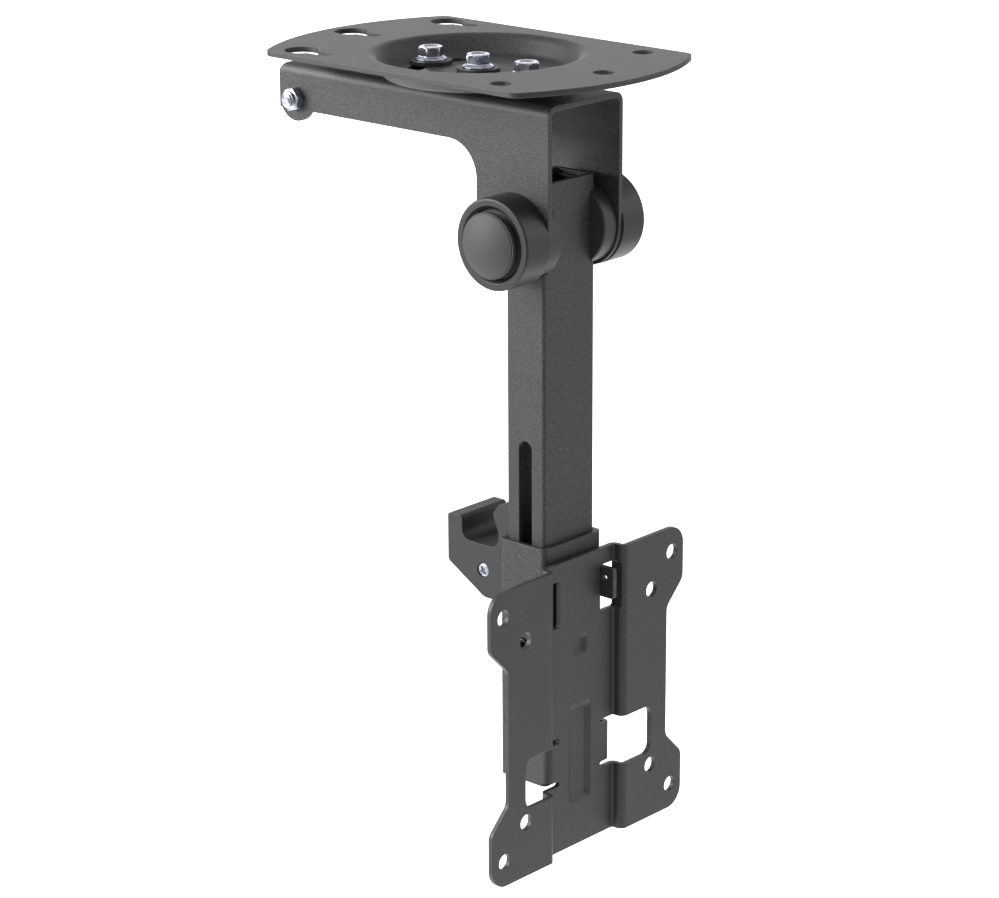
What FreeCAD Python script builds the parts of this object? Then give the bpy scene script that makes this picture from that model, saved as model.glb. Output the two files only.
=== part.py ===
import FreeCAD, Part
import math
import os

# Flip-down mount that carries a small screen under a shelf, a cabinet or a ceiling.
#
# A pressed ceiling plate is screwed up. An L-shaped channel hangs from its dish on three bolts
# and swivels. An arm tube hangs from the channel's short leg on a friction hinge, and folds up to
# the rear. A carrier slides along the arm: it holds the screen plate in front, and behind it a
# hook that takes the latch bolt at the channel's far end when the arm is folded up.
#
# Millimetres. +Z is up, -Y is the screen's side, and X is the hinge axis. The origin is on the
# swivel axis, in the ceiling plate's top face. Sizes below the hinge are measured from the hinge
# axis, with the arm hanging straight down, and at_hinge puts the finished pieces in place.

Vector = FreeCAD.Vector

# Sheet and tube
SHEET = 2.0
BEND = 1.0  # inner radius of a sharp bend
SLIDE_FIT = 0.25  # between surfaces that slide on one another
ROTATION_FIT = 0.08  # between a shank and the bore it turns in
SHANK_FIT = 0.2  # between a shank and a plain clearance hole
SLOT_FIT = 0.3  # between a shank and the slot it runs in

# Ceiling plate
PLATE_HALF_LENGTH = 78.2
PLATE_HALF_WIDTH = 50.5
PLATE_END_RADIUS = 93.0
PLATE_CORNER = 6.0
DISH_DEPTH = 7.2
DISH_MARGIN = 10.0  # from a guide bolt to the edge of the dish's floor
DISH_SLOPE = 5.5  # the slope's width, from the floor to the rim
DISH_BEND = 2.5
SCREW_HOLE_RADIUS = 4.2
SCREW_CIRCLE = 62.3
SCREW_ANGLES = (-40.0, 0.0, 40.0)
KEYHOLE_CIRCLE = 67.4
KEYHOLE_ANGLES = (-37.0, 0.0, 37.0)
KEYHOLE_HEAD_RADIUS = 6.6
KEYHOLE_NECK_RADIUS = 2.9
KEYHOLE_LENGTH = 13.0

# Swivel
SWIVEL_PITCH = 24.5  # from the pivot bolt to each guide bolt
SWIVEL_LIMIT = 30.0
SWIVEL_MARGIN = 1.0  # the guide slots run this many degrees past the limit
PAD_THICKNESS = 1.8
PAD_MARGIN = 7.5  # from a guide bolt to the pad's end
PAD_HALF_WIDTH = 17.0
SLIP_WASHER_RADIUS = 8.2
SLIP_WASHER_THICKNESS = 1.5

# M6 fasteners
M6_RADIUS = 3.0
M6_ACROSS_FLATS = 10.0
M6_HEAD_HEIGHT = 4.0
M6_FLANGE_RADIUS = 7.1
M6_FLANGE_THICKNESS = 1.2
M6_FLANGE_HEAD_HEIGHT = 4.6
M6_NUT_HEIGHT = 5.8
M6_COLLAR_HEIGHT = 1.6
M6_COLLAR_RADIUS = 4.2
M6_WASHER_RADIUS = 6.0
M6_WASHER_THICKNESS = 1.6
M6_PROTRUSION = 1.4

# Channel
HINGE_FORWARD = 37.0  # from the swivel axis to the hinge axis
CHANNEL_HALF_WIDTH = 21.2
CHANNEL_BEND = 2.0
CHANNEL_TOP = 51.7
CHANNEL_BOTTOM = 33.8
LEG_FRONT = 16.8
LEG_REAR = 18.9
CHANNEL_REAR = 123.3
CHANNEL_REAR_CORNER = 4.0
LEG_FILLET = 14.0
LUG_RADIUS = 8.9
LATCH_HEIGHT = 38.0
LATCH_RATIO = 5 / 6  # the latch bolt's size against an M6 bolt's

# Hinge
HINGE_BOLT_RADIUS = 4.0
HINGE_ACROSS_FLATS = 13.0
HINGE_HEAD_HEIGHT = 5.3
HINGE_NUT_HEIGHT = 4.0
HINGE_PROTRUSION = 0.8
HINGE_WASHER_RADIUS = 8.0
HINGE_WASHER_THICKNESS = 1.6
DISC_SPRING_RADIUS = 8.0
DISC_SPRING_THICKNESS = 0.9
DISC_SPRING_RISE = 0.4
DISC_SPRING_COUNT = 2
FRICTION_DISC_RADIUS = 16.0
FRICTION_DISC_CHAMFER = 0.5
RECESS_FIT = 0.25
BARREL_RADIUS = 5.4
COVER_RADIUS = 17.6
COVER_END = 33.9
COVER_WALL = 1.7
COVER_EDGE = 0.9
COVER_RING = 2.9  # the width of the flat ring round the mouth
COVER_BEVEL = 1.3  # the mouth's bevel, as deep as it is wide
CAP_FOOT = 30.2
CAP_FOOT_THICKNESS = 1.4
CAP_FOOT_RADIUS = 13.3
CAP_NECK_RADIUS = 10.6
CAP_RIM_RADIUS = 12.6
CAP_RIM_START = 34.8
CAP_RIM_END = 36.1
CAP_STEP = 0.6  # from the rim in to the dome
CAP_RISE = 2.8
CAP_WALL = 1.5
CAP_FIT = 0.1

# Arm tube
TUBE_HALF_WIDTH = 14.6
TUBE_FRONT = 8.8
TUBE_REAR = 10.2
TUBE_CORNER = 1.2
TUBE_TOP = 20.3
TUBE_BOTTOM = -213.0
PINCH = 2.6  # the tube's sides are pressed in this far to seat the friction discs
PINCH_HALF_HEIGHT = 18.8
SLOT_HALF_WIDTH = 3.3
SLOT_TOP = -80.7
SLOT_BOTTOM = -208.0
PLUG_FLANGE = 2.0
PLUG_DEPTH = 4.0

# Carrier
SLEEVE_TOP = -121.7
SLEEVE_BOTTOM = -220.0
TRAVEL_UP = 45.0
TRAVEL_MARGIN = 1.0
CLAMP_HEIGHTS = (-166.0, -194.0)
KEY_LENGTH = 32.0
EAR_INNER = 12.5
EAR_REACH = 20.7
EAR_TOP = -134.9
EAR_BOTTOM = -147.4
EAR_CORNER = 1.2
EAR_HOLE_RADIUS = 1.2
EAR_HOLE_INSET = 4.4

# Screen plate
SCREEN_CENTRE = -187.8
SCREEN_PATTERNS = (100.0, 75.0)
SCREEN_HOLE_RADIUS = 3.25
SIDE_MARGIN = 7.1  # from an outer hole to the plate's side
END_MARGIN = 10.25  # from an outer hole to the plate's upper or lower edge
WAIST_MARGIN = 9.7  # from an inner hole to the waist's side
SCREEN_CORNER = 8.0
EAR_DROP = 22.85  # from the plate's upper edge to where its side turns in to the waist
WAIST_FILLET = 5.0
WING_FRONT = 19.6
WING_RECESS = 5.0
PANEL_HALF_WIDTH = 20.0
WINDOW_INNER = 12.0
WINDOW_OUTER = 20.6
WINDOW_TOP = -134.4
WINDOW_BOTTOM = -153.6
WINDOW_CORNER = 1.0
CUTOUT_INNER = 13.4
CUTOUT_OUTER = 37.7
CUTOUT_TOP = -199.4
CUTOUT_BOTTOM = -219.9
CUTOUT_CORNER = 4.0
RELIEF_RADIUS = 1.2
STRAP_REAR = 6.0
EMBOSS_SLOPE = 2.4
EMBOSS_FLOOR_HALF_WIDTH = 4.2
EMBOSS_FLOOR_HALF_HEIGHT = 18.3
EMBOSS_CENTRE = -209.1
DIMPLE_SLOPE = 2.0
DIMPLE_FLOOR_HALF_WIDTH = 2.2
DIMPLE_CENTRE = -164.0

# Hook
HOOK_HALF_WIDTH = 13.0
HOOK_REAR = 43.0
HOOK_FINGER_FRONT = 35.4
HOOK_FINGER_TOP = -118.9
HOOK_POCKET_DEPTH = 9.4
HOOK_POCKET_FRONT = 16.3
HOOK_NOSE = 19.2
HOOK_NOSE_RISE = 4.4  # from the finger's top to the front wall's nose
HOOK_CREST_RISE = 10.7  # from the finger's top to the front wall's top
HOOK_CREST_REAR = 12.0
HOOK_CREST_DROP = 2.2
HOOK_CHAMFER_DROP = 10.4  # from the pocket's floor to the chamfer
HOOK_CHAMFER_FRONT = 24.0
HOOK_BODY_DROP = 21.7  # from the pocket's floor to the hook's lower edge
HOOK_TUBE_GAP = 0.5
HOOK_ROUND = 4.0  # the long outer curves
HOOK_FILLET = 2.2  # the pocket's corners
HOOK_EDGE = 1.4  # tips and small corners
HOOK_SCREW_REAR = 24.4
HOOK_SCREW_DROP = 10.7  # from the pocket's floor to the screw
HOOK_SCREW_RADIUS = 2.0
HOOK_SCREW_HEAD_RADIUS = 2.8
HOOK_SCREW_HEAD_HEIGHT = 2.2
HOOK_NUT_ACROSS_FLATS = 7.0
HOOK_NUT_HEIGHT = 3.2
CORE_THICKNESS = 3.0
CORE_INSET = 2.6

# Worked out from the sizes above
SCREEN_HALF_WIDTH = SCREEN_PATTERNS[0] / 2 + SIDE_MARGIN
SCREEN_HALF_HEIGHT = SCREEN_PATTERNS[0] / 2 + END_MARGIN
WAIST_HALF_WIDTH = SCREEN_PATTERNS[1] / 2 + WAIST_MARGIN
STRAP_TOP = CUTOUT_TOP - 2 * RELIEF_RADIUS
STRAP_BOTTOM = CUTOUT_BOTTOM + 2 * RELIEF_RADIUS
HOOK_FLOOR = HOOK_FINGER_TOP - HOOK_POCKET_DEPTH
HOOK_NOSE_HEIGHT = HOOK_FINGER_TOP + HOOK_NOSE_RISE
HOOK_CREST = HOOK_FINGER_TOP + HOOK_CREST_RISE
HOOK_CHAMFER_TOP = HOOK_FLOOR - HOOK_CHAMFER_DROP
HOOK_BOTTOM = HOOK_FLOOR - HOOK_BODY_DROP
HOOK_SCREW = (HOOK_SCREW_REAR, HOOK_FLOOR - HOOK_SCREW_DROP)
DISH_FLOOR = -DISH_DEPTH
DISH_UNDERSIDE = DISH_FLOOR - SHEET
HINGE_DROP = CHANNEL_TOP - DISH_UNDERSIDE + PAD_THICKNESS
CHEEK_INNER = CHANNEL_HALF_WIDTH - SHEET
WEB_UNDERSIDE = CHANNEL_TOP - SHEET
LATCH_REACH = CHANNEL_REAR - LUG_RADIUS
LATCH_RADIUS = LATCH_RATIO * M6_RADIUS
DISC_SEAT = TUBE_HALF_WIDTH - PINCH
SLEEVE_INNER = TUBE_HALF_WIDTH + SLIDE_FIT
SLEEVE_OUTER = SLEEVE_INNER + SHEET
SLEEVE_FRONT = TUBE_FRONT + SLIDE_FIT + SHEET
SLEEVE_REAR = TUBE_REAR + SLIDE_FIT + SHEET
TUBE_MIDDLE = (TUBE_REAR - TUBE_FRONT) / 2
PANEL_FRONT = WING_FRONT - WING_RECESS
PANEL_GAP = PANEL_FRONT - SHEET - SLEEVE_FRONT
KEY_TOP = SLOT_TOP - TRAVEL_UP - TRAVEL_MARGIN
KEY_BOTTOM = KEY_TOP - KEY_LENGTH


def plan(x, y, z):
    """A point of an outline seen from above: across, deep, and the height it is drawn at."""
    return Vector(x, y, z)


def side(y, z, x):
    """A point of an outline seen from the side: deep, high, and the width it is drawn at."""
    return Vector(x, y, z)


def front(x, z, y):
    """A point of an outline seen from the front: across, high, and the depth it is drawn at."""
    return Vector(x, y, z)


NORMALS = {plan: Vector(0, 0, 1), side: Vector(1, 0, 0), front: Vector(0, 1, 0)}


def rounded_wire(corners, radii, view, level):
    """A closed wire through the corners, each rounded by its tangent arc where its radius isn't 0."""
    points = [view(a, b, level) for a, b in corners]
    starts = []
    ends = []
    middles = []
    for index, corner in enumerate(points):
        before = (points[index - 1] - corner).normalize()
        after = (points[(index + 1) % len(points)] - corner).normalize()
        half_angle = before.getAngle(after) / 2
        reach = radii[index] / math.tan(half_angle)
        starts.append(corner + before * reach)
        ends.append(corner + after * reach)
        bisector = (before + after).normalize()
        middles.append(corner + bisector * (radii[index] / math.sin(half_angle) - radii[index]))
    edges = []
    for index, start in enumerate(starts):
        if radii[index] > 0:
            edges.append(Part.Arc(start, middles[index], ends[index]).toShape())
        following = starts[(index + 1) % len(starts)]
        if (following - ends[index]).Length > 1e-6:
            edges.append(Part.LineSegment(ends[index], following).toShape())
    return Part.Wire(edges)


def prism(corners, radii, view, start, end):
    """A rounded outline drawn in one view and extruded across it from start to end."""
    if isinstance(radii, float):
        radii = [radii] * len(corners)
    face = Part.Face(rounded_wire(corners, radii, view, start))
    return face.extrude(NORMALS[view] * (end - start))


def rectangle(low_a, high_a, low_b, high_b):
    """The four corners of a rectangle, in order."""
    return [(low_a, low_b), (high_a, low_b), (high_a, high_b), (low_a, high_b)]


def rod(view, a, b, radius, start, end):
    """A cylinder across a view, centred on the point a, b of that view."""
    return Part.makeCylinder(radius, end - start, view(a, b, start), NORMALS[view])


def hexagon(view, a, b, across_flats, start, end):
    """A hexagonal prism across a view, with a corner along the view's first axis."""
    radius = across_flats / math.sqrt(3)
    turns = [math.radians(60 * step) for step in range(6)]
    corners = [(a + radius * math.cos(turn), b + radius * math.sin(turn)) for turn in turns]
    return prism(corners, 0.0, view, start, end)


def obround(view, ends, radius, start, end):
    """A slot's prism: two round ends and the straight stretch between them."""
    first, second = (Vector(*point, 0) for point in ends)
    across = (second - first).normalize().cross(Vector(0, 0, 1)) * radius
    corners = [first + across, first - across, second - across, second + across]
    shape = prism([(corner.x, corner.y) for corner in corners], 0.0, view, start, end)
    for point in ends:
        shape = shape.fuse(rod(view, *point, radius, start, end))
    return shape.removeSplitter()


def turned(profile, radii, axis):
    """The solid turned about an axis by a closed profile of (along, radius) corners."""
    if axis == "X":
        wire = rounded_wire(profile, radii, front, 0)
        direction = Vector(1, 0, 0)
    else:
        wire = rounded_wire([(radius, along) for along, radius in profile], radii, front, 0)
        direction = Vector(0, 0, 1)
    return Part.Face(wire).revolve(Vector(0, 0, 0), direction, 360)


def sheet_strip(face_path, thickness, inner_radius, view, start, end):
    """Folded sheet: an open path along one face, thickened to its left, with bent corners.

    At a left turn the drawn face is the outside of the bend, so its radius is the inner radius
    plus the thickness. At a right turn it is the inside. The other face has the other radius.
    """
    points = [Vector(a, b, 0) for a, b in face_path]
    directions = [(after - before).normalize() for before, after in zip(points, points[1:])]
    normals = [Vector(-direction.y, direction.x, 0) for direction in directions]
    far_points = [points[0] + normals[0] * thickness]
    near_radii = [0.0]
    far_radii = [0.0]
    for index in range(1, len(points) - 1):
        first, second = normals[index - 1], normals[index]
        far_points.append(points[index] + (first + second) * (thickness / (1 + first.dot(second))))
        turns_left = first.cross(second).z > 0
        near_radii.append(inner_radius + thickness if turns_left else inner_radius)
        far_radii.append(inner_radius if turns_left else inner_radius + thickness)
    far_points.append(points[-1] + normals[-1] * thickness)
    outline = points + far_points[::-1]
    radii = near_radii + [0.0, 0.0] + far_radii[:0:-1] + [0.0]
    return prism([(point.x, point.y) for point in outline], radii, view, start, end)


def mirrored(shape):
    """The same shape on the other side of the middle plane."""
    return shape.mirror(Vector(0, 0, 0), Vector(1, 0, 0))


def at_hinge(shape):
    """Moves a shape drawn from the hinge axis to its place under the ceiling plate."""
    return shape.translated(Vector(0, -HINGE_FORWARD, -HINGE_DROP))


def on_circle(radius, angle, forward):
    """A point on a circle about the swivel axis, at an angle from the front or the rear."""
    turn = math.radians(angle)
    return radius * math.sin(turn), forward * radius * math.cos(turn)


# Ceiling plate and swivel


def ceiling_plate():
    """The pressed plate: a turned dish in a flat sheet, trimmed to its outline, and its holes."""
    outer = math.hypot(PLATE_HALF_WIDTH, PLATE_HALF_LENGTH)
    floor = SWIVEL_PITCH + DISH_MARGIN
    rim = floor + DISH_SLOPE
    slope = math.atan2(DISH_DEPTH, rim - floor)
    step = SHEET * math.tan(slope / 2)
    top = [(0, DISH_FLOOR), (floor, DISH_FLOOR), (rim, 0), (outer, 0)]
    underside = [(outer, -SHEET), (rim + step, -SHEET), (floor + step, DISH_UNDERSIDE), (0, DISH_UNDERSIDE)]
    bends = [0.0, DISH_BEND, DISH_BEND + SHEET, 0.0, 0.0, DISH_BEND, DISH_BEND + SHEET, 0.0]
    profile = [(height, radius) for radius, height in top + underside]
    sheet = turned(profile, bends, "Z")
    plate = sheet.common(plate_outline())
    for angle in SCREW_ANGLES:
        x, y = on_circle(SCREW_CIRCLE, angle, -1)
        plate = plate.cut(rod(plan, x, y, SCREW_HOLE_RADIUS, -SHEET, 0))
    for angle in KEYHOLE_ANGLES:
        x, y = on_circle(KEYHOLE_CIRCLE, angle, 1)
        plate = plate.cut(keyhole(x, y))
    plate = plate.cut(rod(plan, 0, 0, M6_RADIUS + ROTATION_FIT, DISH_UNDERSIDE, DISH_FLOOR))
    for forward in (-1, 1):
        plate = plate.cut(guide_slot(forward))
    return plate


def plate_outline():
    """The prism that trims the turned sheet: straight sides, bowed ends and rounded corners."""
    width = PLATE_HALF_WIDTH
    length = PLATE_HALF_LENGTH
    radius = PLATE_END_RADIUS
    outline = prism(rectangle(-width, width, -length, length), 0.0, plan, DISH_UNDERSIDE, 0)
    for forward in (-1, 1):
        outline = outline.common(rod(plan, 0, forward * (length - radius), radius, DISH_UNDERSIDE, 0))
    corners = [edge for edge in outline.Edges if is_upright_corner(edge)]
    return outline.makeFillet(PLATE_CORNER, corners)


def is_upright_corner(edge):
    """Whether an edge is one of the four upright ones, where the sides meet the bowed ends."""
    box = edge.BoundBox
    return box.XLength < BEND and box.YLength < BEND and abs(abs(box.XMax) - PLATE_HALF_WIDTH) < BEND


def keyhole(x, y):
    """A keyhole: the head goes in at the rear, and the neck runs forward."""
    neck_end = (x, y - KEYHOLE_LENGTH)
    neck = obround(plan, [(x, y), neck_end], KEYHOLE_NECK_RADIUS, -SHEET, 0)
    return neck.fuse(rod(plan, x, y, KEYHOLE_HEAD_RADIUS, -SHEET, 0))


def guide_slot(forward):
    """An arc slot in the dish's floor, for one guide bolt."""
    half_width = M6_RADIUS + SLOT_FIT
    reach = SWIVEL_LIMIT + SWIVEL_MARGIN
    inner = SWIVEL_PITCH - half_width
    outer = SWIVEL_PITCH + half_width
    edges = []
    for radius in (inner, outer):
        points = [on_circle(radius, angle, forward) for angle in (-reach, 0, reach)]
        arc = Part.Arc(*[Vector(*point, DISH_UNDERSIDE) for point in points])
        edges.append(arc.toShape())
    for sign in (-1, 1):
        near = Vector(*on_circle(inner, sign * reach, forward), DISH_UNDERSIDE)
        tip_angle = sign * (reach + math.degrees(half_width / SWIVEL_PITCH))
        tip = Vector(*on_circle(SWIVEL_PITCH, tip_angle, forward), DISH_UNDERSIDE)
        far = Vector(*on_circle(outer, sign * reach, forward), DISH_UNDERSIDE)
        edges.append(Part.Arc(near, tip, far).toShape())
    outline = Part.Wire(Part.__sortEdges__(edges))
    return Part.Face(outline).extrude(Vector(0, 0, SHEET))


def swivel_places():
    """The three bolts' places, front to rear, along the channel."""
    return [-SWIVEL_PITCH, 0.0, SWIVEL_PITCH]


def swivel_pad():
    """The slippery pad between the dish and the channel, with the three bolts through it."""
    top = DISH_UNDERSIDE
    bottom = top - PAD_THICKNESS
    straight = SWIVEL_PITCH + PAD_MARGIN - PAD_HALF_WIDTH
    pad = obround(plan, [(0, -straight), (0, straight)], PAD_HALF_WIDTH, bottom, top)
    for y in swivel_places():
        pad = pad.cut(rod(plan, 0, y, M6_RADIUS + SHANK_FIT, bottom, top))
    return pad


def slip_washer(y):
    """A slippery washer on the dish's floor, under a bolt's head."""
    top = DISH_FLOOR + SLIP_WASHER_THICKNESS
    disc = rod(plan, 0, y, SLIP_WASHER_RADIUS, DISH_FLOOR, top)
    return disc.cut(rod(plan, 0, y, M6_RADIUS + SHANK_FIT, DISH_FLOOR, top))


def swivel_bolt(y):
    """A flanged hexagon bolt, head up in the dish, with its shank down through the channel."""
    seat = DISH_FLOOR + SLIP_WASHER_THICKNESS
    web_underside = DISH_UNDERSIDE - PAD_THICKNESS - SHEET
    end = web_underside - M6_WASHER_THICKNESS - M6_NUT_HEIGHT - M6_PROTRUSION
    bolt = rod(plan, 0, y, M6_RADIUS, end, seat)
    bolt = bolt.fuse(rod(plan, 0, y, M6_FLANGE_RADIUS, seat, seat + M6_FLANGE_THICKNESS))
    head = hexagon(plan, 0, y, M6_ACROSS_FLATS, seat + M6_FLANGE_THICKNESS, seat + M6_FLANGE_HEAD_HEIGHT)
    return bolt.fuse(head).removeSplitter()


def swivel_washer(y):
    """The steel washer under the channel's web."""
    top = DISH_UNDERSIDE - PAD_THICKNESS - SHEET
    return flat_washer(plan, 0, y, top - M6_WASHER_THICKNESS, M6_WASHER_RADIUS, M6_WASHER_THICKNESS, M6_RADIUS)


def swivel_nut(y):
    """The lock nut under the washer, with its collar down."""
    top = DISH_UNDERSIDE - PAD_THICKNESS - SHEET - M6_WASHER_THICKNESS
    return lock_nut(plan, 0, y, top, -1)


def flat_washer(view, a, b, start, radius, thickness, shank_radius):
    """A flat washer across a view, from start upward."""
    disc = rod(view, a, b, radius, start, start + thickness)
    return disc.cut(rod(view, a, b, shank_radius + SHANK_FIT, start, start + thickness))


def lock_nut(view, a, b, seat, direction, ratio=1.0):
    """A lock nut on its seat, sized against M6: the hexagon first, then the round collar."""
    collar_start = seat + direction * ratio * (M6_NUT_HEIGHT - M6_COLLAR_HEIGHT)
    end = seat + direction * ratio * M6_NUT_HEIGHT
    nut = hexagon(view, a, b, ratio * M6_ACROSS_FLATS, min(seat, collar_start), max(seat, collar_start))
    nut = nut.fuse(rod(view, a, b, ratio * M6_COLLAR_RADIUS, min(collar_start, end), max(collar_start, end)))
    return nut.cut(rod(view, a, b, ratio * M6_RADIUS, min(seat, end), max(seat, end)))


# Channel and latch bolt


def channel_bracket():
    """The L-shaped channel: a web on top, and two cheeks that reach down to the hinge."""
    half_width = CHANNEL_HALF_WIDTH
    low = -LEG_REAR
    section_path = [(half_width, low), (half_width, CHANNEL_TOP), (-half_width, CHANNEL_TOP), (-half_width, low)]
    section = sheet_strip(section_path, SHEET, CHANNEL_BEND, front, -LEG_FRONT, CHANNEL_REAR)
    bracket = section.common(cheek_outline())
    for y in swivel_places():
        bolt_place = HINGE_FORWARD + y
        bracket = bracket.cut(rod(plan, 0, bolt_place, M6_RADIUS + SHANK_FIT, WEB_UNDERSIDE, CHANNEL_TOP))
    through = CHANNEL_HALF_WIDTH
    bracket = bracket.cut(rod(side, 0, 0, HINGE_BOLT_RADIUS + SHANK_FIT, -through, through))
    latch_hole = LATCH_RADIUS + SHANK_FIT
    bracket = bracket.cut(rod(side, LATCH_REACH, LATCH_HEIGHT, latch_hole, -through, through))
    return at_hinge(bracket)


def cheek_outline():
    """The side outline of the channel: the arm, the leg with its round foot, and the rear lug."""
    foot_radius = (LEG_FRONT + LEG_REAR) / 2
    width = CHANNEL_HALF_WIDTH
    corners = [
        (-LEG_FRONT, -foot_radius),
        (LEG_REAR, -foot_radius),
        (LEG_REAR, CHANNEL_BOTTOM),
        (CHANNEL_REAR, CHANNEL_BOTTOM),
        (CHANNEL_REAR, CHANNEL_TOP),
        (-LEG_FRONT, CHANNEL_TOP),
    ]
    radii = [foot_radius, foot_radius, LEG_FILLET, 0.0, CHANNEL_REAR_CORNER, 0.0]
    outline = prism(corners, radii, side, -width, width)
    lug = rod(side, LATCH_REACH, LATCH_HEIGHT, LUG_RADIUS, -width, width)
    return outline.fuse(lug).removeSplitter()


def latch_bolt():
    """The hexagon bolt across the channel's far end, which the hook takes."""
    seat = CHANNEL_HALF_WIDTH
    end = -(seat + LATCH_RATIO * (M6_NUT_HEIGHT + M6_PROTRUSION))
    head_end = seat + LATCH_RATIO * M6_HEAD_HEIGHT
    bolt = rod(side, LATCH_REACH, LATCH_HEIGHT, LATCH_RADIUS, end, seat)
    head = hexagon(side, LATCH_REACH, LATCH_HEIGHT, LATCH_RATIO * M6_ACROSS_FLATS, seat, head_end)
    return at_hinge(bolt.fuse(head))


def latch_nut():
    """The lock nut on the latch bolt."""
    return at_hinge(lock_nut(side, LATCH_REACH, LATCH_HEIGHT, -CHANNEL_HALF_WIDTH, -1, LATCH_RATIO))


# Hinge


def spring_stack():
    """The length of the disc springs along the hinge axis."""
    return DISC_SPRING_COUNT * DISC_SPRING_THICKNESS + DISC_SPRING_RISE


def hinge_bolt():
    """The hinge's bolt, with its head inside the left cover."""
    seat = CHANNEL_HALF_WIDTH + HINGE_WASHER_THICKNESS
    end = seat + spring_stack() + HINGE_NUT_HEIGHT + HINGE_PROTRUSION
    bolt = rod(side, 0, 0, HINGE_BOLT_RADIUS, -seat, end)
    head = hexagon(side, 0, 0, HINGE_ACROSS_FLATS, -seat - HINGE_HEAD_HEIGHT, -seat)
    return at_hinge(bolt.fuse(head))


def hinge_washers():
    """A steel washer outside each cheek."""
    start = CHANNEL_HALF_WIDTH
    right = flat_washer(side, 0, 0, start, HINGE_WASHER_RADIUS, HINGE_WASHER_THICKNESS, HINGE_BOLT_RADIUS)
    return Part.makeCompound([at_hinge(right), at_hinge(mirrored(right))])


def disc_springs():
    """The dished springs that keep the hinge's friction, stacked under the nut."""
    springs = []
    start = CHANNEL_HALF_WIDTH + HINGE_WASHER_THICKNESS
    bore = HINGE_BOLT_RADIUS + SHANK_FIT
    thickness = DISC_SPRING_THICKNESS
    rise = DISC_SPRING_RISE
    for index in range(DISC_SPRING_COUNT):
        near = start + index * thickness
        profile = [
            (near + rise, bore),
            (near, DISC_SPRING_RADIUS),
            (near + thickness, DISC_SPRING_RADIUS),
            (near + thickness + rise, bore),
        ]
        springs.append(at_hinge(turned(profile, [0.0] * len(profile), "X")))
    return Part.makeCompound(springs)


def hinge_nut():
    """The thin nut that presses the disc springs."""
    start = CHANNEL_HALF_WIDTH + HINGE_WASHER_THICKNESS + spring_stack()
    end = start + HINGE_NUT_HEIGHT
    nut = hexagon(side, 0, 0, HINGE_ACROSS_FLATS, start, end)
    return at_hinge(nut.cut(rod(side, 0, 0, HINGE_BOLT_RADIUS, start, end)))


def friction_disc():
    """The right friction disc, from the tube's pressed-in side to the channel's cheek."""
    bore = HINGE_BOLT_RADIUS + ROTATION_FIT
    chamfer = FRICTION_DISC_CHAMFER
    profile = [
        (DISC_SEAT, bore),
        (DISC_SEAT, FRICTION_DISC_RADIUS - chamfer),
        (DISC_SEAT + chamfer, FRICTION_DISC_RADIUS),
        (CHEEK_INNER - chamfer, FRICTION_DISC_RADIUS),
        (CHEEK_INNER, FRICTION_DISC_RADIUS - chamfer),
        (CHEEK_INNER, bore),
    ]
    return turned(profile, [0.0] * len(profile), "X")


def hinge_barrel():
    """The spacer inside the tube, which keeps the bolt from crushing it."""
    half_length = DISC_SEAT - SHEET
    barrel = rod(side, 0, 0, BARREL_RADIUS, -half_length, half_length)
    bore = HINGE_BOLT_RADIUS + ROTATION_FIT
    return at_hinge(barrel.cut(rod(side, 0, 0, bore, -half_length, half_length)))


def hinge_cover():
    """The right cover: a cup over the bolt's end, with a bevelled mouth for its cap."""
    seat = CHANNEL_HALF_WIDTH
    mouth = CAP_FOOT_RADIUS + CAP_FIT
    profile = [
        (seat, COVER_RADIUS - COVER_WALL),
        (seat, COVER_RADIUS),
        (COVER_END, COVER_RADIUS),
        (COVER_END, COVER_RADIUS - COVER_RING),
        (COVER_END - COVER_BEVEL, mouth),
        (CAP_FOOT, mouth),
        (CAP_FOOT, COVER_RADIUS - COVER_WALL),
    ]
    radii = [0.0, 0.0, COVER_EDGE, 0.0, 0.0, 0.0, 0.0]
    return turned(profile, radii, "X")


def hinge_cap():
    """The right cap: a foot in the cover's mouth, a neck, and a domed head that stands proud."""
    step_end = CAP_RIM_END + CAP_STEP / 2
    dome_radius = CAP_RIM_RADIUS - CAP_STEP
    inner = CAP_NECK_RADIUS - CAP_WALL
    corners = [
        (step_end, dome_radius),
        (CAP_RIM_END, dome_radius),
        (CAP_RIM_END, CAP_RIM_RADIUS),
        (CAP_RIM_START, CAP_RIM_RADIUS),
        (CAP_RIM_START, CAP_NECK_RADIUS),
        (CAP_FOOT + CAP_FOOT_THICKNESS, CAP_NECK_RADIUS),
        (CAP_FOOT + CAP_FOOT_THICKNESS, CAP_FOOT_RADIUS),
        (CAP_FOOT, CAP_FOOT_RADIUS),
        (CAP_FOOT, inner),
        (CAP_RIM_START, inner),
    ]
    edges = [line(first, second) for first, second in zip(corners, corners[1:])]
    edges.append(domed_edge(dome_radius, step_end, CAP_RISE))
    inner_rise = step_end + CAP_RISE - CAP_WALL - CAP_RIM_START
    edges.append(domed_edge(inner, CAP_RIM_START, inner_rise))
    edges.append(line((step_end + CAP_RISE - CAP_WALL, 0), (step_end + CAP_RISE, 0)))
    wire = Part.Wire(Part.__sortEdges__(edges))
    return Part.Face(wire).revolve(Vector(0, 0, 0), Vector(1, 0, 0), 360)


def line(first, second):
    """A straight edge of a turned profile, from (along, radius) to (along, radius)."""
    return Part.LineSegment(front(*first, 0), front(*second, 0)).toShape()


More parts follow.
